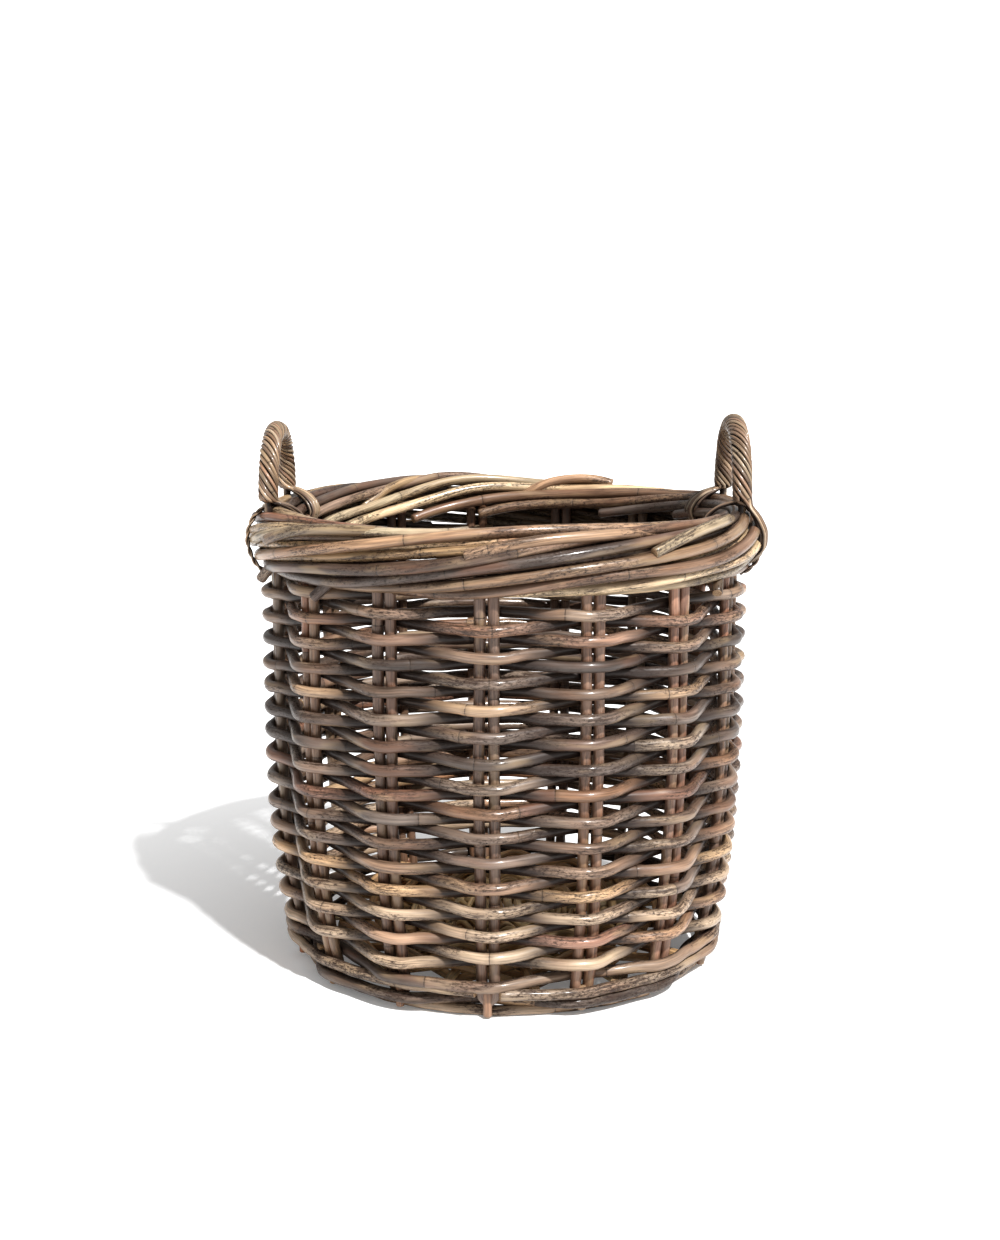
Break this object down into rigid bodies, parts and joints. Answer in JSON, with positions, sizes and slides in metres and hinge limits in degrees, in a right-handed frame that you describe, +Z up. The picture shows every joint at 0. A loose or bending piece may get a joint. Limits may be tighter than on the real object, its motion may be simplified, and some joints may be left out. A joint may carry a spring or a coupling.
{
  "type": "wicker log basket",
  "caption": "Round barrel-sided log basket of thick woven rattan cane on double stakes, with a rolled border, woven base and roped bow handles",
  "frame": {"origin": "on the floor, under the middle of the basket", "axes": "+Z is up; the handles stand at -X and +X; -Y is the front"},
  "size_m": [0.5122, 0.5106, 0.549],
  "materials": {
    "stake_cane": "satin",
    "grey_weaver": "satin",
    "brown_weaver": "satin",
    "border_cane": "satin",
    "base_cane": "matte",
    "foot_cane": "matte",
    "handle_cane": "satin"
  },
  "bodies": {
    "root": {"foot_hoop": "foot_cane", "stake_01": "stake_cane", "stake_02": "stake_cane", "stake_03": "stake_cane", "stake_04": "stake_cane", "stake_05": "stake_cane", "stake_06": "stake_cane", "stake_07": "stake_cane", "stake_08": "stake_cane", "stake_09": "stake_cane", "stake_10": "stake_cane", "stake_11": "stake_cane", "stake_12": "stake_cane", "stake_13": "stake_cane", "stake_14": "stake_cane", "stake_15": "stake_cane", "base_stick_lower_01": "base_cane", "base_stick_lower_02": "base_cane", "base_stick_lower_03": "base_cane", "base_stick_lower_04": "base_cane", "base_stick_upper_01": "base_cane", "base_stick_upper_02": "base_cane", "base_stick_upper_03": "base_cane", "base_stick_upper_04": "base_cane", "base_weaver_01": "base_cane", "base_weaver_02": "base_cane", "foot_wale_lower": "foot_cane", "foot_wale_upper": "foot_cane", "foot_binder": "foot_cane", "weaver_01": "brown_weaver", "weaver_02": "grey_weaver", "weaver_03": "brown_weaver", "weaver_04": "grey_weaver", "weaver_05": "brown_weaver", "weaver_06": "grey_weaver", "weaver_07": "brown_weaver", "weaver_08": "grey_weaver", "weaver_09": "brown_weaver", "weaver_10": "grey_weaver", "border_cane_01": "border_cane", "border_cane_02": "border_cane", "border_cane_03": "border_cane", "border_cane_04": "border_cane", "border_cane_05": "border_cane", "border_cane_06": "border_cane", "border_cane_07": "border_cane", "border_cane_08": "border_cane", "border_cane_09": "border_cane", "border_cane_10": "border_cane", "border_cane_11": "border_cane", "border_cane_12": "border_cane", "border_cane_13": "border_cane", "border_cane_14": "border_cane", "border_cane_15": "border_cane", "handle_left_core": "handle_cane", "handle_left_wrap_1": "handle_cane", "handle_left_wrap_2": "handle_cane", "handle_right_core": "handle_cane", "handle_right_wrap_1": "handle_cane", "handle_right_wrap_2": "handle_cane"}
  },
  "joints": []
}
